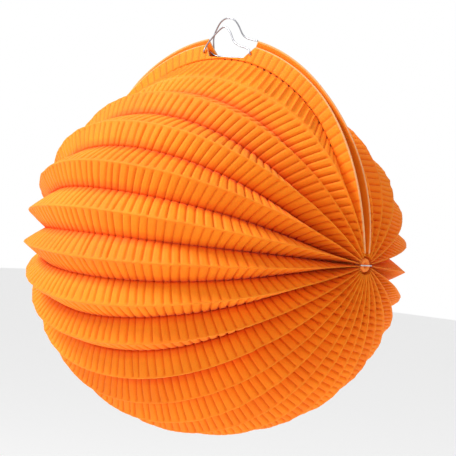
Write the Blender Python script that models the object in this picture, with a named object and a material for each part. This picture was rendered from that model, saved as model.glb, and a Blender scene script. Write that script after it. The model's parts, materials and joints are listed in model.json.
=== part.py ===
"""Accordion paper ball lantern: crimped paper pleats fanned around a level pole axis.

World origin: the hang point, under the humps of the two wire hangers.
+Z up, +X along the pole axis, -Y towards the near end card.  Metres.
"""
import math

import bmesh
import bpy
from mathutils import Matrix, Vector

for old in list(bpy.data.objects):
    bpy.data.objects.remove(old, do_unlink=True)

MM = 0.001

# ---- driving constants -------------------------------------------------
PLEATS = 25                 # folds between the two end strips, valley to valley
POLE_HALF = 110.0 * MM      # half length of the ball along the pole axis
STRIP_HALF = 100.6 * MM     # half length of the strips' feet along it
SIDE_R = 106.5 * MM         # radius of the ball across the axis, at the sides
SHOULDER_DIP = 8.6 * MM     # the folds near the seam sit this much lower
DIP_REACH = math.radians(58)    # and this is how far round the dip fades
PANEL_W = 15.0 * MM         # width of the paper between a ridge and a valley
PANEL_SPARE = 1.06          # where ridges are far apart, panel over half their distance
SPREAD_LOW = math.radians(11.6)     # angle between ridges at the bottom
FIRST_RIDGE = math.radians(12.0)    # first ridge, from straight up
PAPER_T = 0.60 * MM
GAP = 0.30 * MM             # clearance between neighbouring pieces
FOLD_R = 8.0 * MM           # the folds stop this far from the pole axis
EDGE_FOLD_R = 11.6 * MM     # and the two folds beside the seam this far
SEGMENTS = 21               # straight runs along each fold

CARD_T = 0.8 * MM           # stiff end strips, one on each side of the seam
CARD_FOOT = 107.1 * MM      # foot of both strips above the pole axis
CARD_TOP = 116.5 * MM       # top edge of the near strip above the pole axis
FAR_RISE = 3.6 * MM         # the far strip stands this much prouder
SEAM_HALF = 0.8 * MM        # middle of the seam to the middle of a strip's edge
SEAM_SPLAY = 3.4 * MM       # the strip's foot stands out this much further, at the top
CARD_END_R = 11.0 * MM      # the strips stop this far from the pole axis
NOTCH_TOP = 18.8 * MM       # half width of the notch at the strip's edge
NOTCH_BOTTOM = 14.0 * MM
NOTCH_FLOOR = 107.9 * MM    # floor of both notches above the pole axis
HOLE_X = 17.6 * MM          # hanger holes: distance from the middle
HOLE_SHARE = 0.68           # and how far down the strip
HOLE_R = 0.95 * MM

WIRE_R = 0.45 * MM
STRAIGHTEN = 0.145          # the hangers rise straighter than the leaning strips
OUT = CARD_T / MM / 2 + WIRE_R / MM + 0.45      # mm, strip's middle to wire's middle
TIE_R = 5.6 * MM            # pressed fold ends, inside the ball
TIE_NECK_R = 3.9 * MM       # and where the staple goes round them
STAPLE_R = 0.35 * MM

HUMP_X = -4.6 * MM          # middle of the hangers' humps
HANG_RISE = 8.0 * MM        # hang point above the near strip's top
CENTRE = Vector((-HUMP_X, 0.0, -(CARD_TOP + HANG_RISE)))

LANTERN = bpy.data.collections.new("accordion_paper_lantern")
CUTTERS = bpy.data.collections.new("cutters")
bpy.context.scene.collection.children.link(LANTERN)
bpy.context.scene.collection.children.link(CUTTERS)


def material(name, colour, roughness, metallic):
    mat = bpy.data.materials.new(name)
    mat.use_nodes = True
    bsdf = mat.node_tree.nodes["Principled BSDF"]
    bsdf.inputs["Base Color"].default_value = (*colour, 1.0)
    bsdf.inputs["Roughness"].default_value = roughness
    bsdf.inputs["Metallic"].default_value = metallic
    return mat


def add_mesh(name, bm, mat, collection=LANTERN):
    bmesh.ops.recalc_face_normals(bm, faces=bm.faces[:])
    if bm.calc_volume(signed=True) < 0:
        bmesh.ops.reverse_faces(bm, faces=bm.faces[:])
    mesh = bpy.data.meshes.new(name)
    bm.to_mesh(mesh)
    bm.free()
    mesh.materials.append(mat)
    obj = bpy.data.objects.new(name, mesh)
    obj.location = CENTRE
    collection.objects.link(obj)
    return obj


def across(radius, angle):
    """Point in the plane across the pole axis: angle from +Z towards -Y."""
    return Vector((-radius * math.sin(angle), radius * math.cos(angle)))


def ridge(k):
    """(radius, angle) of ridge k = 1 .. PLEATS, from the near strip round the front."""
    middle = (PLEATS + 1) / 2
    side = min(k, PLEATS + 1 - k)
    u = (side - 1) / (middle - 1)
    total = math.pi - FIRST_RIDGE
    late = SPREAD_LOW * (middle - 1)
    turn = FIRST_RIDGE + late * u + (total - late) * (1 - (1 - u) ** 3.4)
    radius = SIDE_R - SHOULDER_DIP * math.exp(-(turn / DIP_REACH) ** 3)
    return radius, turn if k <= middle else 2 * math.pi - turn


def strip_line(theta, top, side, drop):
    """(y, z) on a strip's middle, drop below its edge, where the arc stands at theta."""
    splay = SEAM_SPLAY * math.sin(theta) ** 2 * drop / (top - CARD_FOOT)
    return Vector((side * (SEAM_HALF + splay), (top - drop) * math.sin(theta)))


def valley(k, theta):
    """(radius, angle, half length along the axis) of valley k = 0 .. PLEATS at theta."""
    if k in (0, PLEATS):
        foot = strip_line(theta, CARD_TOP, -1, CARD_TOP - CARD_FOOT)
        turn = math.atan2(-foot.x, foot.y)
        return foot.length / math.sin(theta), 2 * math.pi - turn if k else turn, STRIP_HALF
    (r1, a1), (r2, a2) = ridge(k), ridge(k + 1)
    half = (a2 - a1) / 2
    radius = (r1 + r2) / 2
    reach = radius * math.sin(half)
    sink = math.sqrt(max(PANEL_W, PANEL_SPARE * reach) ** 2 - reach ** 2)
    return radius * math.cos(half) - sink, (a1 + a2) / 2, POLE_HALF - PANEL_W


# ---- the paper folds: one roof-shaped crescent each, pole to pole ------
def crease(half, radius, angle, theta):
    """Point of a crease where its arc stands at theta from the +X pole."""
    spot = across(radius * math.sin(theta), angle)
    return Vector((half * math.cos(theta), spot.x, spot.y))


def fold_section(theta, k):
    """Six corners of fold k where the arc stands at theta: outer face, then inner."""
    top_r, top_a = ridge(k)
    apex = crease(POLE_HALF, top_r, top_a, theta)
    run_on = crease(POLE_HALF, top_r, top_a, theta + 0.01) - apex
    panels = []
    for side in (0, 1):
        low_r, low_a, low_half = valley(k - 1 + side, theta)
        foot = crease(low_half, low_r, low_a, theta)
        turn = across(1.0, low_a + (0.5 - side) * math.pi)
        inward = Vector((0.0, turn.x, turn.y))
        clear = GAP / 2 if 0 < k - 1 + side < PLEATS else GAP + CARD_T / 2 + 0.1 * MM
        along = (apex - foot).normalized()
        out = run_on.cross(along).normalized() * (1 if side == 0 else -1)
        panels.append((foot, along, out, inward, clear))
    run = min((apex - foot).dot(inward) for foot, _, _, inward, _ in panels)
    thick = PAPER_T * run / (run + 1.2 * MM)
    middle = panels[0][2] + panels[1][2]
    mitre = thick / middle.length
    corners = []
    for face, reach_up in ((1, min(mitre, 0.6 * thick)), (-1, mitre)):
        row = []
        for foot, along, out, inward, clear in panels:
            shift = out * (face * thick / 2)
            reach = (clear - shift.dot(inward)) / along.dot(inward)
            row.append(foot + shift + along * reach)
        row.insert(1, apex + middle.normalized() * (face * reach_up))
        corners += row if face == 1 else row[::-1]
    return corners


def build_pleat(k, mat):
    end = math.asin((FOLD_R if 1 < k < PLEATS else EDGE_FOLD_R) / SIDE_R)
    bm = bmesh.new()
    rings = []
    for i in range(SEGMENTS + 1):
        theta = end + (math.pi - 2 * end) * i / SEGMENTS
        rings.append([bm.verts.new(p) for p in fold_section(theta, k)])
    for a, b in zip(rings, rings[1:]):
        for j in range(6):
            near, far = (j, (j + 1) % 6) if j < 3 else ((j + 1) % 6, j)
            bm.faces.new((a[near], a[far], b[far]))
            bm.faces.new((a[near], b[far], b[near]))
    for ring in (rings[0], rings[-1]):
        bm.faces.new((ring[0], ring[1], ring[4], ring[5]))
        bm.faces.new((ring[1], ring[2], ring[3], ring[4]))
    return add_mesh("pleat_%02d" % k, bm, mat)


# ---- the stiff end strips: half rings with a notch at the top ----------
def build_card(name, top, side, mat):
    """side -1 is the near strip (towards -Y), +1 the far one."""
    stations = []
    width = top - CARD_FOOT
    end = math.asin(CARD_END_R / top)
    for i in range(14):
        theta = end + (math.acos(NOTCH_TOP / POLE_HALF) - end) * i / 13
        stations.append((theta, 0.0))
    theta = math.acos(NOTCH_BOTTOM / POLE_HALF)
    stations.append((theta, top * math.sin(theta) - NOTCH_FLOOR))
    stations += [(math.pi - t, d) for t, d in reversed(stations)]
    bm = bmesh.new()
    rings = []
    for theta, cut in stations:
        share = cut / width
        low = strip_line(theta, top, side, width)
        high = strip_line(theta, top, side, 0.0)
        low_x = STRIP_HALF * math.cos(theta)
        high_x = POLE_HALF * math.cos(theta)
        along = (high - low).normalized()
        thick = Vector((along.y, -along.x)) * (CARD_T / 2)
        edge = high + (low - high) * share
        ring = [(low_x, low - thick), (high_x, edge - thick), (high_x, edge + thick), (low_x, low + thick)]
        rings.append([bm.verts.new((x, p.x, p.y)) for x, p in ring])
    for a, b in zip(rings, rings[1:]):
        for j in range(4):
            bm.faces.new((a[j], a[(j + 1) % 4], b[(j + 1) % 4], b[j]))
    bm.faces.new(rings[0])
    bm.faces.new(rings[-1])
    card = add_mesh(name, bm, mat)
    for hand in (-1, 1):
        hole = bmesh.new()
        bmesh.ops.create_cone(
            hole, cap_ends=True, segments=16, radius1=HOLE_R, radius2=HOLE_R, depth=6 * CARD_T)
        spot = strip_line(math.pi / 2, top, side, HOLE_SHARE * width)
        place = Matrix.Translation((hand * HOLE_X, spot.x, spot.y))
        bmesh.ops.transform(
            hole, matrix=place @ Matrix.Rotation(math.pi / 2 + card_lean(top, side), 4, "X"),
            verts=hole.verts[:])
        cutter = add_mesh("%s_hole_%s" % (name, "left" if hand < 0 else "right"), hole, mat, CUTTERS)
        cutter.hide_render = True
        cutter.display_type = "WIRE"
        cut = card.modifiers.new("hole", "BOOLEAN")
        cut.operation = "DIFFERENCE"
        cut.solver = "EXACT"
        cut.object = cutter
    return card


def card_lean(top, side):
    """Turn about X that stands a vertical sheet along the strip."""
    foot = strip_line(math.pi / 2, top, side, top - CARD_FOOT)
    rise = strip_line(math.pi / 2, top, side, 0.0) - foot
    return math.atan2(-rise.x, rise.y)


# ---- the wire hangers: closed loops threaded through two holes ---------
def smooth(points, steps):
    """Catmull-Rom curve through a closed list of points."""
    n = len(points)
    path = []
    for i in range(n):
        p0, p1, p2, p3 = (points[(i + j - 1) % n] for j in range(4))
        for s in range(steps):
            t = s / steps
            path.append(0.5 * (
                2 * p1 + (p2 - p0) * t + (2 * p0 - 5 * p1 + 4 * p2 - p3) * t * t
                + (3 * p1 - p0 - 3 * p2 + p3) * t ** 3))
    return path


def build_wire(name, knots, top, side, mat):
    """knots: (x, height above the holes, distance out from the strip) in mm."""
    curve = bpy.data.curves.new(name, "CURVE")
    curve.dimensions = "3D"
    curve.bevel_depth = WIRE_R
    curve.bevel_resolution = 1
    points = []
    for x, rise, out in knots:
        arm = max(0.0, rise - 1.9)
        points.append(Vector((x, side * (out + STRAIGHTEN * arm), rise)) * MM)
    path = smooth(points, 3)
    spline = curve.splines.new("POLY")
    spline.points.add(len(path) - 1)
    for point, p in zip(spline.points, path):
        point.co = (p.x, p.y, p.z, 1)
    spline.use_cyclic_u = True
    curve.materials.append(mat)
    obj = bpy.data.objects.new(name, curve)
    spot = strip_line(math.pi / 2, top, side, HOLE_SHARE * (top - CARD_FOOT))
    obj.location = CENTRE + Vector((0, spot.x, spot.y))
    obj.rotation_euler = (card_lean(top, side), 0, 0)
    LANTERN.objects.link(obj)
    return obj


# ---- the poles: pressed paper ends and the staple over them ------------
def build_tie(name, side, mat):
    inner, outer = POLE_HALF - PANEL_W - 0.5 * MM, POLE_HALF - 0.4 * MM
    neck = outer - 6.0 * MM
    profile = [(inner, 0), (inner, TIE_R * 0.8), (inner + 1.0 * MM, TIE_R), (neck - 1.4 * MM, TIE_R),
               (neck, TIE_NECK_R), (outer - 0.5 * MM, TIE_NECK_R), (outer, TIE_NECK_R - 0.5 * MM),
               (outer, 0)]
    bm = bmesh.new()
    verts = [bm.verts.new((side * x, r, 0)) for x, r in profile]
    edges = [bm.edges.new(pair) for pair in zip(verts, verts[1:])]
    bmesh.ops.spin(bm, geom=verts + edges, axis=(1, 0, 0), cent=(0, 0, 0), angle=2 * math.pi,
                   steps=20, use_merge=True)
    bmesh.ops.remove_doubles(bm, verts=bm.verts[:], dist=0.01 * MM)
    return add_mesh(name, bm, mat)


def build_staple(name, side, mat):
    curve = bpy.data.curves.new(name, "CURVE")
    curve.dimensions = "3D"
    curve.bevel_depth = STAPLE_R
    curve.bevel_resolution = 1
    curve.use_fill_caps = True
    half = TIE_NECK_R + GAP + STAPLE_R
    crown = POLE_HALF - 0.4 * MM + GAP + STAPLE_R
    path = [(crown - 5.0 * MM, -half), (crown - 1.2 * MM, -half), (crown - 0.3 * MM, -half + 0.3 * MM),
            (crown, -half + 1.2 * MM), (crown, half - 1.2 * MM), (crown - 0.3 * MM, half - 0.3 * MM),
            (crown - 1.2 * MM, half), (crown - 5.0 * MM, half)]
    spline = curve.splines.new("POLY")
    spline.points.add(len(path) - 1)
    for point, (x, y) in zip(spline.points, path):
        point.co = (side * x, y, 0, 1)
    curve.materials.append(mat)
    obj = bpy.data.objects.new(name, curve)
    obj.location = CENTRE
    LANTERN.objects.link(obj)
    return obj


paper_light = material("pleat_paper_light", (1.0, 0.36, 0.05), 0.75, 0.0)
paper_deep = material("pleat_paper_deep", (0.98, 0.29, 0.03), 0.75, 0.0)
card_near = material("end_card_near_card", (0.96, 0.42, 0.12), 0.8, 0.0)
card_far = material("end_card_far_card", (0.90, 0.30, 0.05), 0.8, 0.0)
pressed = material("pressed_paper", (0.93, 0.55, 0.28), 0.85, 0.0)
wire_steel = material("hanger_wire_steel", (0.72, 0.72, 0.74), 0.28, 1.0)
staple_steel = material("staple_steel", (0.62, 0.62, 0.64), 0.3, 1.0)

for index in range(1, PLEATS + 1):
    build_pleat(index, paper_light if index % 2 else paper_deep)

build_card("end_card_near", CARD_TOP, -1, card_near)
build_card("end_card_far", CARD_TOP + FAR_RISE, 1, card_far)

inner_run = [
    (17.6, 0.0, 0.0), (17.0, -0.4, -OUT), (12.6, -2.2, -OUT), (0.0, -2.5, -OUT),
    (-12.6, -2.2, -OUT), (-17.0, -0.4, -OUT), (-17.6, 0.0, 0.0)]
near_knots = inner_run + [
    (-17.2, 0.4, OUT), (-16.6, 3, OUT), (-14.6, 6.6, OUT), (-9, 13.3, OUT),
    (-5.2, 15, OUT), (-0.8, 12.3, OUT), (3.6, 7, OUT), (8.2, 4.7, OUT),
    (13.8, 3.5, OUT), (16.4, 2.2, OUT), (17.2, 0.4, OUT)]
far_knots = inner_run + [
    (-17.2, 0.4, OUT), (-17, 7.9, OUT), (-13.4, 14.7, OUT), (-9.9, 17.9, OUT),
    (-6.1, 19, OUT), (-1.7, 18.2, OUT), (1.6, 15.2, OUT), (4.9, 10.2, OUT),
    (8.2, 8.3, OUT), (13.4, 7.3, OUT), (16.4, 6.5, OUT), (17.2, 0.4, OUT)]
build_wire("hanger_wire_near", near_knots, CARD_TOP, -1, wire_steel)
build_wire("hanger_wire_far", far_knots, CARD_TOP + FAR_RISE, 1, wire_steel)

for word, sign in (("right", 1), ("left", -1)):
    build_tie("pole_tie_" + word, sign, pressed)
    build_staple("pole_staple_" + word, sign, staple_steel)
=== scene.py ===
"""Accordion paper ball lantern: crimped orange paper folds fanned around a level axis.

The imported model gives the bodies; every visible piece here is made over them in
metres, in the same frame: +Z up, +X along the pole axis, -Y towards the near strip.
"""
import json
import math

import bpy
import numpy as np
from mathutils import Matrix, Vector


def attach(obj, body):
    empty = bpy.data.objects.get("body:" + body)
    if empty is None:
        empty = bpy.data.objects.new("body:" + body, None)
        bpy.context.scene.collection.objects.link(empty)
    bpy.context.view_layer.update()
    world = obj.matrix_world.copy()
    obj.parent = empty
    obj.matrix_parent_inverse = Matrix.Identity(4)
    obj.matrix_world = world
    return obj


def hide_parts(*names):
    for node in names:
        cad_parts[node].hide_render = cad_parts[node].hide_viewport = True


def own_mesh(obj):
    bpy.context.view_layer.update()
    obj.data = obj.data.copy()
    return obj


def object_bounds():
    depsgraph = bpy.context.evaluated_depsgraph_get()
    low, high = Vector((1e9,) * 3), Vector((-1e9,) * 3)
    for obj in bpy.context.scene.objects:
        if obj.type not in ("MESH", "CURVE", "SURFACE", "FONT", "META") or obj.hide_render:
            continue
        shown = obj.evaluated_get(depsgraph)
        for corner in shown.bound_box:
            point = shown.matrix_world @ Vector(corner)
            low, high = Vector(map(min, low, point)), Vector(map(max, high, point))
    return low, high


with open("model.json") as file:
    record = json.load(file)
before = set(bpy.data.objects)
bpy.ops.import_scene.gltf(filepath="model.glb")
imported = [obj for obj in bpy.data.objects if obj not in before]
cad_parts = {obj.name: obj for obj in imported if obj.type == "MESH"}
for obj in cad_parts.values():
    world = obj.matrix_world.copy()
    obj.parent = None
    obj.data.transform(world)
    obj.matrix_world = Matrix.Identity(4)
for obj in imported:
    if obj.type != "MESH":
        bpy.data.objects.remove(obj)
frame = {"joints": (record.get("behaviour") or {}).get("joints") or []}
cad_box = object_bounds()
MM = 0.001

# ---- viewpoint ---------------------------------------------------------------
# A long lens a metre and a half away, a little above the middle of the ball and
# turned past the seam, with the lantern hanging slightly off level in the view.
turn_joint = next(j for j in frame["joints"] if j["name"] == "fan_close")
BALL = np.array(turn_joint["pos_m"], float)
VIEW_AROUND = math.radians(41.4)
VIEW_ABOVE = math.radians(2.2)
VIEW_TILT = math.radians(4.8)
VIEW_AWAY = 1.462

back = Vector((math.sin(VIEW_AROUND) * math.cos(VIEW_ABOVE),
               -math.cos(VIEW_AROUND) * math.cos(VIEW_ABOVE),
               math.sin(VIEW_ABOVE)))
level = Vector((0, 0, 1)).cross(back).normalized()
upright = back.cross(level)
right = math.cos(VIEW_TILT) * level + math.sin(VIEW_TILT) * upright
up = math.cos(VIEW_TILT) * upright - math.sin(VIEW_TILT) * level
lens = bpy.data.cameras.new("camera")
lens.lens = 203.0
lens.sensor_width = 36.0
lens.shift_x = 0.0287
lens.shift_y = 0.0432
lens.clip_start = 0.05
lens.clip_end = 60.0
camera = bpy.data.objects.new("camera", lens)
bpy.context.scene.collection.objects.link(camera)
turned = Matrix((right, up, back)).transposed().to_4x4()
camera.matrix_world = Matrix.Translation(Vector(BALL) + back * VIEW_AWAY) @ turned
bpy.context.scene.camera = camera

# ---- crimped paper folds -----------------------------------------------------
# One long strip of dyed tissue, crimped crossways by a toothed roller and folded
# to and fro.  Every fold is a roof of two panels that runs from pole to pole, and
# each shares its valley creases with the folds on either side of it.
FOLDS = 25
POLE_HALF = 110.0 * MM
SIDE_R = 106.5 * MM             # ridge radius round the sides and the bottom
SHOULDER_DIP = 8.6 * MM         # the ridges near the seam lie lower
DIP_REACH = math.radians(58)
PANEL_W = 15.0 * MM
PANEL_SPARE = 1.06              # where ridges lie far apart, panel over half their distance
FIRST_RIDGE = math.radians(12.0)
LAST_SPREAD = math.radians(11.6)
STRIP_FOOT = 107.1 * MM         # foot of the stiff strips beside the seam
STRIP_HALF = 100.6 * MM         # and the half length of that foot along the axis
NEAR_TOP = 116.5 * MM
FAR_TOP = 120.1 * MM
SEAM_HALF = 0.8 * MM            # middle of the seam to the middle of a strip's edge
SEAM_SPLAY = 3.4 * MM           # the strips' feet stand this much further out on top
SEAM_BOW = 2.6 * MM             # and both strips draw apart this much near the poles
TISSUE_T = 0.22 * MM
FOLD_END_R = 5.3 * MM           # the folds run into the tie this far from the axis
CRIMPS = 62
SAMPLES = 8                     # rows for one crimp
CRIMP_DEEP = 0.55 * MM          # half the depth of a groove
RIDGE_BAND = 0.09               # share of the panel left smooth along the ridge
SEED = 31
PANEL_BULGE = 0.45 * MM
CREASE_RISE = 0.5 * MM          # slow unevenness of a crease: how far out and in
CREASE_WANDER = math.radians(0.45)      # and how far round
CREASE_SHARE = 0.10             # share of a panel over which its crimps turn upright


def around(radius, angle):
    """(y, z) at that radius from the axis; the angle runs from +Z towards -Y."""
    return np.stack([-radius * np.sin(angle), radius * np.cos(angle)], axis=-1)


def ease(x):
    """0 below 0, 1 above 1, and 3x^2 - 2x^3 in between."""
    x = np.clip(x, 0.0, 1.0)
    return x * x * (3 - 2 * x)


def ridge_place(k):
    """Radius and angle of ridge k: wide apart by the seam, closing up below."""
    middle = (FOLDS + 1) / 2
    u = (min(k, FOLDS + 1 - k) - 1) / (middle - 1)
    total = math.pi - FIRST_RIDGE
    late = LAST_SPREAD * (middle - 1)
    turn = FIRST_RIDGE + late * u + (total - late) * (1 - (1 - u) ** 3.4)
    radius = SIDE_R - SHOULDER_DIP * math.exp(-(turn / DIP_REACH) ** 3)
    return radius, turn if k <= middle else 2 * math.pi - turn


def seam_bow(s):
    """How far each strip draws away from the seam's middle plane: nothing at the poles
    and over the top, most at about 20 degrees from either pole."""
    off = np.clip(np.minimum(s, math.pi - s) / math.radians(50), 0, 1)
    return SEAM_BOW * np.sin(math.pi * off ** 0.75)


def strip_line(s, top, side, drop):
    """(y, z) on a strip's middle, that far below its edge, where the arc stands at s."""
    out = SEAM_HALF + SEAM_SPLAY * np.sin(s) ** 2 * drop / (top - STRIP_FOOT) + seam_bow(s)
    return np.stack([side * out, (top - drop) * np.sin(s)], axis=-1)


def valley_line(k, s):
    """(y, z) along valley k, its half length, and its angle over the ball's middle."""
    if k in (0, FOLDS):
        side, top = (-1, NEAR_TOP) if k == 0 else (1, FAR_TOP)
        foot = strip_line(s, top, side, top - STRIP_FOOT)
        return foot, STRIP_HALF, np.arctan2(-foot[:, 0], foot[:, 1]) % (2 * math.pi)
    (r1, a1), (r2, a2) = ridge_place(k), ridge_place(k + 1)
    half = (a2 - a1) / 2
    radius = (r1 + r2) / 2
    reach = radius * math.sin(half)
    sink = math.sqrt(max(PANEL_W, PANEL_SPARE * reach) ** 2 - reach ** 2)
    angle = (a1 + a2) / 2
    yz = around((radius * math.cos(half) - sink) * np.sin(s), angle)
    return yz + seam_push(k + 0.5, s), POLE_HALF - PANEL_W, np.full(len(s), angle)


def seam_push(k, s):
    """(y, z) shift of the creases beside the seam, which follow the strips' bow."""
    near = np.exp(-(k - 0.5) / 1.3) - np.exp(-(FOLDS + 0.5 - k) / 1.3)
    return np.stack([-near * seam_bow(s), np.zeros_like(s)], axis=-1)


def crease_drift(seed, s):
    """Hand-made unevenness of one crease: slow drift (three sines of seeded phase)
    and, crimp by crimp, a shift along the crease and a depth, joined by straight lines."""
    rng = np.random.default_rng(SEED * 100 + seed)
    phase = rng.uniform(0, 2 * math.pi, 6)
    slow = sum(np.sin(n * s + phase[n]) / n for n in (2, 3, 5))
    slow_turn = sum(np.sin(n * s + phase[n - 1]) / n for n in (2, 4, 5))
    marks = np.linspace(0, math.pi, CRIMPS + 1)
    shift = np.interp(s, marks, rng.normal(0, 0.10, CRIMPS + 1)) * math.pi / CRIMPS
    depth = np.interp(s, marks, np.clip(rng.normal(1.0, 0.17, CRIMPS + 1), 0.55, 1.5))
    return slow, slow_turn, shift, depth


def crease_line(s, yz, half, drift, loose):
    """Points of one crease: its (y, z) run with the drift's slow rise and turn."""
    slow, slow_turn, shift, _ = drift
    loose = loose * np.sin(s)
    reach = np.linalg.norm(yz, axis=1)[:, None]
    out = yz / reach
    turned = np.stack([-out[:, 1], out[:, 0]], axis=1)
    yz = (yz + out * (CREASE_RISE * slow * loose)[:, None]
          + turned * reach * (CREASE_WANDER * slow_turn * loose)[:, None])
    return np.concatenate([(half * np.cos(s + shift * loose))[:, None], yz], axis=1)


def crimp_wave(turns):
    """Flat bars between narrow round grooves: 1 - 2 exp(-(d / 0.13)^2), where d is the
    distance in turns to the nearest groove."""
    off = np.abs(turns - np.round(turns))
    return 1 - 2 * np.exp(-(off / 0.13) ** 2)


def fold_surface(k):
    """(rows, columns, 3) points of fold k and its height share, 0 valley to 1 ridge.

    Each row is two straight panels, valley - ridge - valley.  The crimps press
    grooves into the outer face, square to the panel and towards the axis at the
    creases, and they fade out over a narrow band along the ridge."""
    end = math.asin(FOLD_END_R / SIDE_R)
    s = np.linspace(end, math.pi - end, CRIMPS * SAMPLES + 1)
    ridge_r, ridge_a = ridge_place(k)
    ridge_drift = crease_drift(2 * k, s)
    ridge_yz = around(ridge_r * np.sin(s), ridge_a) + seam_push(k, s)
    top = crease_line(s, ridge_yz, POLE_HALF, ridge_drift, 1.0)
    steps = np.array([0, .035, .08, .14, .22, .34, .48, .62, .76, .89, 1.0])
    wave = crimp_wave(CRIMPS * (s - end) / (math.pi - 2 * end))
    strength = CRIMP_DEEP * (1.0 + 0.18 * np.cos(s)) * (0.15 + 0.85 * ease(np.sin(s) / 0.30))
    panels, heights, waves = [], [], []
    for hand in (-1, 1):
        low_yz, low_half, low_a = valley_line(k - 1 if hand < 0 else k, s)
        line = 2 * k + hand
        at_strip = line in (1, 2 * FOLDS + 1)
        low_drift = crease_drift(line, s)
        low = crease_line(s, low_yz, low_half, low_drift, 0.0 if at_strip else 1.0)
        h = 1.0 - steps
        flat = low[:, None] + (top - low)[:, None] * h[None, :, None]
        run = np.gradient((top + low) / 2, axis=0)
        square = np.cross(top - low, run)
        turn = low_a[:, None] + (ridge_a - low_a[:, None]) * h
        sideways = np.stack([np.zeros_like(turn), -np.cos(turn), -np.sin(turn)], axis=-1)
        outward = np.stack([np.zeros_like(turn), -np.sin(turn), np.cos(turn)], axis=-1)
        square *= hand * np.sign(np.einsum("ij,ij->i", square, sideways[:, 0]))[:, None]
        square /= np.linalg.norm(square, axis=1)[:, None]
        crease = np.exp(-(steps / CREASE_SHARE) ** 2) + np.exp(-(h / CREASE_SHARE) ** 2)
        way = (square[:, None] * (1 - crease)[None, :, None]
               + outward * crease[None, :, None])
        way /= np.linalg.norm(way, axis=2)[..., None]
        fade = 0.10 + 0.90 * ease((steps - 0.35 * RIDGE_BAND) / RIDGE_BAND)
        depth = (ridge_drift[3][:, None] * h + low_drift[3][:, None] * (1 - h))
        bulge = PANEL_BULGE * np.sin(math.pi * h)[None, :] * np.sin(s)[:, None]
        push = bulge - (strength * (1 - wave))[:, None] * fade[None, :] * depth
        panels.append(flat + way * push[..., None])
        # The height share drives the painted valley shade and the lighter ridge tint; beside the
        # strips it is held at 0.4 or more, so that valley gets no painted shade. The crimp wave
        # places the painted shade in the crimps' hollows.
        heights.append(np.broadcast_to(np.maximum(h, 0.4) if at_strip else h, push.shape))
        waves.append(np.broadcast_to(wave[:, None], push.shape) * fade)
    points = np.concatenate([panels[0][:, ::-1], panels[1][:, 1:]], axis=1)
    height = np.concatenate([heights[0][:, ::-1], heights[1][:, 1:]], axis=1)
    crest = np.concatenate([waves[0][:, ::-1], waves[1][:, 1:]], axis=1)
    return points + BALL, height, crest


def grid_piece(name, points, marks, loop_rows=False, loop_cols=False, cap_rows=False):
    """Object with a quad for every cell of an (rows, columns, 3) grid of points.

    loop_rows and loop_cols join the last row or column to the first, cap_rows closes
    both end rows with one face.  marks are named values kept on the points."""
    rows, cols = points.shape[:2]
    index = np.arange(rows * cols).reshape(rows, cols)
    if loop_rows:
        index = np.vstack([index, index[:1]])
    if loop_cols:
        index = np.hstack([index, index[:, :1]])
    faces = np.stack([index[:-1, :-1], index[1:, :-1], index[1:, 1:], index[:-1, 1:]],
                     axis=-1).reshape(-1, 4).tolist()
    if cap_rows:
        faces += [list(range(cols)), list(range(rows * cols - 1, (rows - 1) * cols - 1, -1))]
    mesh = bpy.data.meshes.new(name)
    mesh.from_pydata(points.reshape(-1, 3).tolist(), [], faces)
    mesh.polygons.foreach_set("use_smooth", np.ones(len(mesh.polygons), bool))
    for mark, values in marks.items():
        layer = mesh.attributes.new(mark, "FLOAT", "POINT")
        layer.data.foreach_set("value", np.ascontiguousarray(values, np.float32).ravel())
    mesh.update()
    piece = bpy.data.objects.new(name, mesh)
    bpy.context.scene.collection.objects.link(piece)
    return piece


def noise(tree, coordinates, scale, detail, rough=0.55):
    """Noise texture node on the given coordinates."""
    texture = tree.nodes.new("ShaderNodeTexNoise")
    texture.inputs["Scale"].default_value = scale
    texture.inputs["Detail"].default_value = detail
    texture.inputs["Roughness"].default_value = rough
    tree.links.new(coordinates, texture.inputs["Vector"])
    return texture.outputs["Fac"]


def ramp(tree, value, stops):
    """Colour ramp node with (place, colour) stops."""
    band = tree.nodes.new("ShaderNodeValToRGB")
    band.color_ramp.elements.remove(band.color_ramp.elements[1])
    for i, (place, colour) in enumerate(stops):
        element = band.color_ramp.elements[0] if i == 0 else band.color_ramp.elements.new(place)
        element.position = place
        element.color = (*colour, 1.0)
    tree.links.new(value, band.inputs["Fac"])
    return band.outputs["Color"]


def blended(tree, kind, share, a, b):
    """Colour mix node; share is a number or a socket."""
    mix = tree.nodes.new("ShaderNodeMix")
    mix.data_type = "RGBA"
    mix.blend_type = kind
    if isinstance(share, float):
        mix.inputs["Factor"].default_value = share
    else:
        tree.links.new(share, mix.inputs["Factor"])
    tree.links.new(a, mix.inputs["A"])
    tree.links.new(b, mix.inputs["B"])
    return mix.outputs["Result"]


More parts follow.
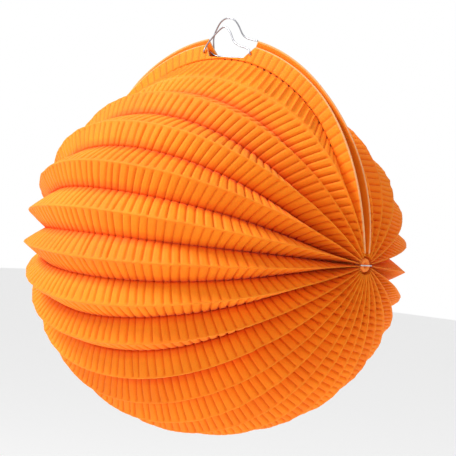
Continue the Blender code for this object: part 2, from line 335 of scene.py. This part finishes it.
def paper_finish(name, valley_shade, body, ridge):
    """Dyed crimped tissue, with painted shade darkening it towards the valley and a lighter tint
    along the ridge, painted shade in the crimps' hollows, mottled, with fine fibres in colour and
    bump."""
    paper = bpy.data.materials.new(name)
    paper.use_nodes = True
    tree = paper.node_tree
    shader = tree.nodes["Principled BSDF"]
    place = tree.nodes.new("ShaderNodeTexCoord").outputs["Object"]
    height = tree.nodes.new("ShaderNodeAttribute")
    height.attribute_name = "fold_height"
    crest = tree.nodes.new("ShaderNodeAttribute")
    crest.attribute_name = "crimp"
    # Colour by fold height: painted shade from the valley up to 0.35 of the way, the plain body
    # colour on the panels, and a lighter tint in the last twentieth along the ridge.
    fold_shade_colour = ramp(tree, height.outputs["Fac"],
               [(0.0, valley_shade), (0.35, body), (0.95, body), (1.0, ridge)])
    # Painted shade in the crimps' hollows: where the crimp mark falls towards -1, in a groove, the
    # colour is multiplied darker.
    hollows = tree.nodes.new("ShaderNodeMapRange")
    hollows.inputs["From Min"].default_value = -1.0
    tree.links.new(crest.outputs["Fac"], hollows.inputs["Value"])
    shade = ramp(tree, hollows.outputs["Result"],
                 [(0.0, (0.92, 0.66, 0.50)), (0.75, (1.0, 1.0, 1.0)), (1.0, (1.0, 1.0, 1.0))])
    colour = blended(tree, "MULTIPLY", 1.0, fold_shade_colour, shade)
    patches = ramp(tree, noise(tree, place, 38.0, 3.0),
                   [(0.35, (0.93, 0.86, 0.80)), (0.65, (1.0, 1.0, 1.0))])
    colour = blended(tree, "MULTIPLY", 0.8, colour, patches)
    fibres = noise(tree, place, 1500.0, 4.0, 0.7)
    speckle = ramp(tree, fibres, [(0.30, (0.88, 0.80, 0.76)), (0.62, (1.0, 1.0, 1.0))])
    colour = blended(tree, "MULTIPLY", 0.55, colour, speckle)
    tree.links.new(colour, shader.inputs["Base Color"])
    rough = tree.nodes.new("ShaderNodeMapRange")
    rough.inputs["To Min"].default_value = 0.58
    rough.inputs["To Max"].default_value = 0.80
    tree.links.new(fibres, rough.inputs["Value"])
    tree.links.new(rough.outputs["Result"], shader.inputs["Roughness"])
    bump = tree.nodes.new("ShaderNodeBump")
    bump.inputs["Strength"].default_value = 0.22
    bump.inputs["Distance"].default_value = 0.00015
    tree.links.new(fibres, bump.inputs["Height"])
    tree.links.new(bump.outputs["Normal"], shader.inputs["Normal"])
    shader.inputs["Sheen Weight"].default_value = 0.03
    shader.inputs["Sheen Roughness"].default_value = 0.5
    shader.inputs["Subsurface Weight"].default_value = 0.22
    shader.inputs["Subsurface Radius"].default_value = (1.0, 0.30, 0.06)
    shader.inputs["Subsurface Scale"].default_value = 0.0016
    shader.inputs["Specular IOR Level"].default_value = 0.18
    return paper


# In each tissue finish the first colour is the painted shade in the valleys.
tissue = {
    1: paper_finish("tissue_light", (0.93, 0.12, 0.002), (1.0, 0.255, 0.006), (1.0, 0.30, 0.016)),
    0: paper_finish("tissue_deep", (0.92, 0.11, 0.002), (0.99, 0.235, 0.005), (1.0, 0.28, 0.013)),
}

for k in range(1, FOLDS + 1):
    points, height, crest = fold_surface(k)
    fold = grid_piece("paper_fold_%02d" % k, points, {"fold_height": height, "crimp": crest})
    fold.data.materials.append(tissue[k % 2])
    wall = fold.modifiers.new("paper thickness", "SOLIDIFY")
    wall.thickness = TISSUE_T
    wall.offset = 0.0
    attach(fold, "fold_%02d" % k)
    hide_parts("pleat_%02d" % k)
    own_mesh(fold)

# ---- stiff strips beside the seam --------------------------------------------
# A half ring of card on each side of the seam, with crimped paper glued to its
# outer face and its pale cut edge bare.  Both are notched at the top and drilled
# for the hangers.
STRIP_T = 0.8 * MM
STRIP_END_R = 6.6 * MM
NOTCH_TOP = 18.8 * MM
NOTCH_BOTTOM = 14.0 * MM
NOTCH_FLOOR = 107.9 * MM
HOLE_X = 17.6 * MM
HOLE_SHARE = 0.68               # how far down the strip the holes are
HOLE_R = 0.95 * MM
FACING_DEEP = 0.55 * MM             # how far the crimps of the facing stand out


def strip_frame(top, side):
    """Foot and edge of the strip over the middle of the ball, (y, z), and the unit
    vectors up it and square to it, outward."""
    low = strip_line(math.pi / 2, top, side, top - STRIP_FOOT)
    high = strip_line(math.pi / 2, top, side, 0.0)
    rise = (high - low) / np.linalg.norm(high - low)
    return low, high, rise, side * np.array([rise[1], -rise[0]])


def strip_surface(top, side):
    """Closed ring of points round the strip's section at each station along it.

    The section runs from the foot to the edge along the strip line.  The notch
    lowers the edge along straight lines, and the outer face is pushed out between
    the same narrow grooves as the folds."""
    end = math.asin(STRIP_END_R / top)
    notch = (NOTCH_TOP, NOTCH_BOTTOM, -NOTCH_BOTTOM, -NOTCH_TOP)
    corners = [math.acos(x / POLE_HALF) for x in notch]
    s = np.unique(np.concatenate([np.linspace(end, math.pi - end, CRIMPS * SAMPLES + 1), corners]))
    along = POLE_HALF * np.cos(s)
    floor_cut = top * np.sin(s) - NOTCH_FLOOR
    cut = np.clip((NOTCH_TOP - np.abs(along)) / (NOTCH_TOP - NOTCH_BOTTOM), 0, 1) * floor_cut
    cut = np.clip(cut, 0, None) / (top - STRIP_FOOT)
    outer = np.array([0.0, 0.035, 0.09, 0.17, 0.30, 0.45, 0.60, 0.75, 0.88, 0.96, 1.0])
    inner = outer[::-1][::2]
    down = np.concatenate([outer, [1.0], inner, [0.0]])
    out = np.concatenate([[0.55], np.ones(9), [0.6],
                          [-0.6], -np.ones(len(inner) - 1), [-0.8], [-0.55]])
    facing = np.concatenate([ease((outer - 0.02) / 0.10) * ease((1.0 - outer) / 0.05),
                             np.zeros(len(down) - len(outer))])
    share = cut[:, None] + (1 - cut[:, None]) * down
    low = strip_line(s, top, side, top - STRIP_FOOT)
    high = strip_line(s, top, side, 0.0)
    rise = high - low
    rise = rise / np.linalg.norm(rise, axis=1)[:, None]
    square = side * np.stack([rise[:, 1], -rise[:, 0]], axis=1)
    wave = crimp_wave(s * CRIMPS / math.pi)
    push = out * STRIP_T / 2 + facing * FACING_DEEP * 0.5 * (1 + wave[:, None])
    yz = (high[:, None] + (low - high)[:, None] * share[..., None]
          + square[:, None] * push[..., None])
    x = along[:, None] * (1 - share * (1 - STRIP_HALF / POLE_HALF))
    edge = np.broadcast_to(np.where(down < 0.05, 1.0, 0.0), x.shape)
    # Height share for the facing's finish: the lighter ridge tint near the top edge and no painted
    # valley shade. The crimp wave places painted shade in the facing's crimp hollows.
    height = np.broadcast_to(1 - 0.6 * down, x.shape)
    crest = facing * wave[:, None]
    return np.concatenate([x[..., None], yz], axis=2) + BALL, edge, height, crest


def facing_finish(name, valley_shade, body, ridge, card):
    """The folds' tissue over a card core that shows cream along the cut edge."""
    facing = paper_finish(name, valley_shade, body, ridge)
    tree = facing.node_tree
    shader = tree.nodes["Principled BSDF"]
    place = tree.nodes.new("ShaderNodeTexCoord").outputs["Object"]
    edge = tree.nodes.new("ShaderNodeAttribute")
    edge.attribute_name = "cut_edge"
    core = ramp(tree, noise(tree, place, 700.0, 5.0, 0.7),
                [(0.30, tuple(0.78 * c for c in card)), (0.70, card)])
    # The tissue's colour, with its painted shade in the valleys and in the crimps' hollows.
    dyed_and_shaded = shader.inputs["Base Color"].links[0].from_socket
    colour = blended(tree, "MIX", edge.outputs["Fac"], dyed_and_shaded, core)
    tree.links.new(colour, shader.inputs["Base Color"])
    return facing


def drilled(piece, cutters):
    """The piece's mesh with the cutters taken out of it."""
    for cutter in cutters:
        hole = piece.modifiers.new("hole", "BOOLEAN")
        hole.operation = "DIFFERENCE"
        hole.solver = "EXACT"
        hole.object = cutter
    bpy.context.view_layer.update()
    done = piece.evaluated_get(bpy.context.evaluated_depsgraph_get())
    mesh = bpy.data.meshes.new_from_object(done)
    piece.modifiers.clear()
    piece.data = mesh
    for cutter in cutters:
        bpy.data.objects.remove(cutter, do_unlink=True)


for word, top, side in (("near", NEAR_TOP, -1), ("far", FAR_TOP, 1)):
    points, edge, height, crest = strip_surface(top, side)
    if side > 0:
        points, edge, height, crest = (a[:, ::-1] for a in (points, edge, height, crest))
    strip = grid_piece("seam_strip_" + word, points,
                       {"cut_edge": edge, "fold_height": height, "crimp": crest},
                       loop_cols=True, cap_rows=True)
    strip.data.materials.append(facing_finish(
        "strip_facing_" + word, (0.93, 0.15, 0.002), (0.99, 0.26, 0.006), (1.0, 0.30, 0.012),
        (0.86, 0.42, 0.18)))
    low, high, rise, square = strip_frame(top, side)
    cutters = []
    for hand in (-1, 1):
        ring = np.linspace(0, 2 * math.pi, 24, endpoint=False)
        spot = high + (low - high) * HOLE_SHARE
        depth = np.array([-2.0, 2.0])[:, None] * MM
        yz = (spot + depth[..., None] * square
              + (HOLE_R * np.sin(ring))[None, :, None] * rise)
        x = np.broadcast_to(hand * HOLE_X + HOLE_R * np.cos(ring), yz.shape[:2])
        cylinder = np.concatenate([x[..., None], yz], axis=2) + BALL
        cutters.append(grid_piece("hole", cylinder if side < 0 else cylinder[::-1], {},
                                  loop_cols=True, cap_rows=True))
    drilled(strip, cutters)
    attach(strip, word + "_side")
    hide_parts("end_card_" + word)

# ---- pressed paper at the poles ----------------------------------------------
# At each pole all the fold ends are gathered and pinched flat round the axis: a
# short ribbed stem of many paper layers with a narrow neck for the staple and a
# small pit in its end.
TIE_R = 5.6 * MM
NECK_R = 3.9 * MM
TIE_IN = POLE_HALF - PANEL_W - 0.5 * MM
TIE_OUT = POLE_HALF - 0.4 * MM
NECK_X = TIE_OUT - 6.0 * MM


def tie_surface(hand):
    """Stem turned about the axis from a profile, its radius ribbed by a triangle
    wave round the axis with a rib for each fold."""
    profile = np.array([
        (TIE_IN, 0.0), (TIE_IN, 0.45 * TIE_R), (TIE_IN + 0.2 * MM, 0.85 * TIE_R),
        (TIE_IN + 1.2 * MM, TIE_R), (TIE_IN + 6 * MM, TIE_R), (NECK_X - 2.4 * MM, TIE_R),
        (NECK_X - 1.0 * MM, 0.86 * TIE_R), (NECK_X, NECK_R), (NECK_X + 2.5 * MM, 0.95 * NECK_R),
        (TIE_OUT - 0.9 * MM, NECK_R), (TIE_OUT - 0.2 * MM, 0.92 * NECK_R), (TIE_OUT, 0.70 * NECK_R),
        (TIE_OUT - 0.5 * MM, 0.42 * NECK_R), (TIE_OUT - 2.2 * MM, 0.22 * NECK_R),
        (TIE_OUT - 2.6 * MM, 0.0)])
    ring = np.linspace(0, 2 * math.pi, FOLDS * 8, endpoint=False)
    ribs = np.arcsin(0.9 * np.sin(FOLDS * ring)) / math.asin(0.9)
    uneven = 0.05 * np.sin(3 * ring + hand) + 0.03 * np.sin(7 * ring)
    radius = profile[:, 1:2] * (1 - 0.055 + 0.055 * ribs + uneven * 0.6)
    yz = around(radius, ring[None, :] * hand)
    x = np.broadcast_to(hand * profile[:, :1], radius.shape)
    # The rib wave is the finish's crimp mark: painted shade in the grooves between the ribs.
    crest = np.broadcast_to(ribs, radius.shape)
    height = np.broadcast_to(0.35 + 0.6 * (profile[:, 1:2] / TIE_R), radius.shape)
    return np.concatenate([x[..., None], yz], axis=2) + BALL, height, crest


pressed = paper_finish("pressed_tissue", (0.62, 0.11, 0.010), (0.90, 0.27, 0.04),
                       (0.95, 0.48, 0.16))
for word, hand in (("right", 1), ("left", -1)):
    points, height, crest = tie_surface(hand)
    tie = grid_piece("pinched_stem_" + word, points, {"fold_height": height, "crimp": crest},
                     loop_cols=True)
    tie.data.materials.append(pressed)
    weld = tie.modifiers.new("weld", "WELD")
    weld.merge_threshold = 0.00001
    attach(tie, "near_side")
    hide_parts("pole_tie_" + word)

# ---- staples through the poles -----------------------------------------------
# A bright wire staple straddles each pinched neck: two legs along the axis and a
# crown across the end of the stem.
STAPLE_R = 0.35 * MM


def tube_surface(path, radius, sides, closed):
    """A circle carried along the path without twist: a first frame at each point,
    turned back by the running sum of the twist between neighbouring frames."""
    if closed:
        run = np.roll(path, -1, axis=0) - np.roll(path, 1, axis=0)
    else:
        run = np.gradient(path, axis=0)
    run = run / np.linalg.norm(run, axis=1)[:, None]
    hint = np.where(np.abs(run[:, 1:2]) < 0.8, [[0.0, 1.0, 0.0]], [[0.35, 0.0, 0.94]])
    first = hint - np.einsum("ij,ij->i", hint, run)[:, None] * run
    first /= np.linalg.norm(first, axis=1)[:, None]
    second = np.cross(run, first)
    carried = first[:-1] - np.einsum("ij,ij->i", first[:-1], run[1:])[:, None] * run[1:]
    carried /= np.linalg.norm(carried, axis=1)[:, None]
    step = np.arctan2(np.einsum("ij,ij->i", carried, second[1:]),
                      np.einsum("ij,ij->i", carried, first[1:]))
    twist = np.concatenate([[0.0], np.cumsum(step)])[:, None]
    if closed:
        last = first[-1] - first[-1].dot(run[0]) * run[0]
        gap = twist[-1, 0] + math.atan2(last.dot(second[0]), last.dot(first[0]))
        gap = (gap + math.pi) % (2 * math.pi) - math.pi
        twist = twist - gap * np.linspace(0, 1, len(path), endpoint=False)[:, None]
    ring = np.linspace(0, 2 * math.pi, sides, endpoint=False)[None, :] + twist
    return path[:, None] + radius * (np.cos(ring)[..., None] * first[:, None]
                                     + np.sin(ring)[..., None] * second[:, None])


def curve_through(knots, steps, closed):
    """Catmull-Rom curve: the cubic through each pair of knots whose slopes at them
    are half the line between their neighbours."""
    if closed:
        p0, p1, p2, p3 = (np.roll(knots, 1 - i, axis=0)[:, None] for i in range(4))
    else:
        ends = np.vstack([2 * knots[0] - knots[1], knots, 2 * knots[-1] - knots[-2]])
        p0, p1, p2, p3 = (ends[i:len(ends) - 3 + i][:, None] for i in range(4))
    t = (np.arange(steps) / steps)[None, :, None]
    path = 0.5 * (2 * p1 + (p2 - p0) * t + (2 * p0 - 5 * p1 + 4 * p2 - p3) * t ** 2
                  + (3 * p1 - p0 - 3 * p2 + p3) * t ** 3)
    path = path.reshape(-1, 3)
    return path if closed else np.vstack([path, knots[-1]])


def steel_finish(name, colour, roughness):
    """Drawn steel wire: metal with fine scratches and a cloudy tarnish."""
    steel = bpy.data.materials.new(name)
    steel.use_nodes = True
    tree = steel.node_tree
    shader = tree.nodes["Principled BSDF"]
    place = tree.nodes.new("ShaderNodeTexCoord").outputs["Object"]
    cloud = noise(tree, place, 420.0, 4.0)
    scratch = noise(tree, place, 5200.0, 3.0, 0.7)
    bright = ramp(tree, cloud, [(0.30, tuple(0.72 * c for c in colour)), (0.62, colour)])
    tree.links.new(bright, shader.inputs["Base Color"])
    rough = tree.nodes.new("ShaderNodeMapRange")
    rough.inputs["To Min"].default_value = roughness - 0.08
    rough.inputs["To Max"].default_value = roughness + 0.14
    tree.links.new(scratch, rough.inputs["Value"])
    tree.links.new(rough.outputs["Result"], shader.inputs["Roughness"])
    bump = tree.nodes.new("ShaderNodeBump")
    bump.inputs["Strength"].default_value = 0.12
    bump.inputs["Distance"].default_value = 0.00004
    tree.links.new(scratch, bump.inputs["Height"])
    tree.links.new(bump.outputs["Normal"], shader.inputs["Normal"])
    shader.inputs["Metallic"].default_value = 1.0
    return steel


staple_steel = steel_finish("staple_wire", (0.66, 0.66, 0.68), 0.30)
for word, hand in (("right", 1), ("left", -1)):
    half = NECK_R + 0.3 * MM + STAPLE_R
    crown = TIE_OUT + 0.3 * MM + STAPLE_R
    corners = np.array([
        (crown - 5.0 * MM, -half, 0), (crown - 3.0 * MM, -half, 0), (crown - 1.2 * MM, -half, 0),
        (crown - 0.35 * MM, 0.35 * MM - half, 0), (crown, 1.2 * MM - half, 0), (crown, 0, 0),
        (crown, half - 1.2 * MM, 0), (crown - 0.35 * MM, half - 0.35 * MM, 0),
        (crown - 1.2 * MM, half, 0), (crown - 3.0 * MM, half, 0), (crown - 5.0 * MM, half, 0)])
    path = curve_through(corners * (hand, 1, 1) + BALL, 6, closed=False)
    tube = tube_surface(path, STAPLE_R, 12, closed=False)
    staple = grid_piece("staple_" + word, tube[:, ::-1], {}, loop_cols=True, cap_rows=True)
    staple.data.materials.append(staple_steel)
    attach(staple, "near_side")
    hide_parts("pole_staple_" + word)

# ---- wire hangers ------------------------------------------------------------
# A bent loop of thin steel wire threaded through the two holes of each strip, with
# a hump off the middle.  The two humps lean together over the seam and take the
# hanging loop; each hanger can swing down about its holes.
WIRE_R = 0.45 * MM
STRAIGHTEN = 0.145                  # they rise straighter than the leaning strips
STAND = STRIP_T / MM / 2 + WIRE_R / MM + 0.45      # mm from the strip's middle
INNER_RUN = [
    (17.6, 0.0, 0.0), (17.0, -0.4, -STAND), (12.6, -2.2, -STAND), (0.0, -2.5, -STAND),
    (-12.6, -2.2, -STAND), (-17.0, -0.4, -STAND), (-17.6, 0.0, 0.0)]
NEAR_ROUTE = INNER_RUN + [
    (-17.2, 0.4, STAND), (-16.6, 3.0, STAND), (-14.6, 6.6, STAND), (-9.0, 13.3, STAND),
    (-5.2, 15.0, STAND), (-0.8, 12.3, STAND), (3.6, 7.0, STAND), (8.2, 4.7, STAND),
    (13.8, 3.5, STAND), (16.4, 2.2, STAND), (17.2, 0.4, STAND)]
FAR_ROUTE = INNER_RUN + [
    (-17.2, 0.4, STAND), (-17.0, 7.9, STAND), (-13.4, 14.7, STAND), (-9.9, 17.9, STAND),
    (-6.1, 19.0, STAND), (-1.7, 18.2, STAND), (1.6, 15.2, STAND), (4.9, 10.2, STAND),
    (8.2, 8.3, STAND), (13.4, 7.3, STAND), (16.4, 6.5, STAND), (17.2, 0.4, STAND)]

hanger_steel = steel_finish("hanger_wire", (0.40, 0.40, 0.43), 0.30)
for word, route, top, side in (("near", NEAR_ROUTE, NEAR_TOP, -1), ("far", FAR_ROUTE, FAR_TOP, 1)):
    low, high, rise, square = strip_frame(top, side)
    across_mm, up_mm, out_mm = np.array(route).T
    out_mm = out_mm + STRAIGHTEN * np.clip(up_mm - 1.9, 0, None)
    holes = high + (low - high) * HOLE_SHARE
    yz = holes + (up_mm[:, None] * rise + out_mm[:, None] * square) * MM
    knots = np.concatenate([across_mm[:, None] * MM, yz], axis=1) + BALL
    path = curve_through(knots, 10, closed=True)
    tube = tube_surface(path, WIRE_R, 14, closed=True)
    hanger = grid_piece("wire_hanger_" + word, tube[:, ::-1], {}, loop_rows=True, loop_cols=True)
    hanger.data.materials.append(hanger_steel)
    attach(hanger, word + "_hanger")
    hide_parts("hanger_wire_" + word)

# ---- studio ------------------------------------------------------------------
# A pale floor well under the hanging ball, a surround that is seen as white and
# lights a little less, one broad soft light high on the left, a weak one on the right.
FLOOR_DROP = 0.35
scene = bpy.context.scene
scene.view_settings.view_transform = "Standard"
world = bpy.data.worlds.new("surround")
world.use_nodes = True
glow = world.node_tree.nodes["Background"]
glow.inputs["Color"].default_value = (1.0, 1.0, 1.0, 1.0)
seen = world.node_tree.nodes.new("ShaderNodeLightPath")
brightness = world.node_tree.nodes.new("ShaderNodeMapRange")
brightness.inputs["To Min"].default_value = 0.82
brightness.inputs["To Max"].default_value = 1.0
world.node_tree.links.new(seen.outputs["Is Camera Ray"], brightness.inputs["Value"])
world.node_tree.links.new(brightness.outputs["Result"], glow.inputs["Strength"])
scene.world = world

floor_z = cad_box[0].z - FLOOR_DROP
corners = np.array([[[-6, -6, 0], [-6, 6, 0]], [[6, -6, 0], [6, 6, 0]]], float)
floor = grid_piece("floor", corners + (BALL[0], BALL[1], floor_z), {})
pale = bpy.data.materials.new("pale_floor")
pale.use_nodes = True
pale.node_tree.nodes["Principled BSDF"].inputs["Base Color"].default_value = (1.0, 1.0, 1.0, 1)
pale.node_tree.nodes["Principled BSDF"].inputs["Roughness"].default_value = 0.9
floor.data.materials.append(pale)


def soft_light(name, where, size, power):
    """Square area light at that place from the ball, aimed at the ball."""
    data = bpy.data.lights.new(name, "AREA")
    data.shape = "SQUARE"
    data.size = size
    data.energy = power
    light = bpy.data.objects.new(name, data)
    scene.collection.objects.link(light)
    light.matrix_world = (Matrix.Translation(Vector(BALL) + Vector(where))
                          @ Vector(where).to_track_quat("Z", "Y").to_matrix().to_4x4())


soft_light("key_light", (-0.85, -0.95, 1.25), 0.6, 34.0)
soft_light("fill_light", (1.4, -0.9, 0.5), 1.2, 2.0)
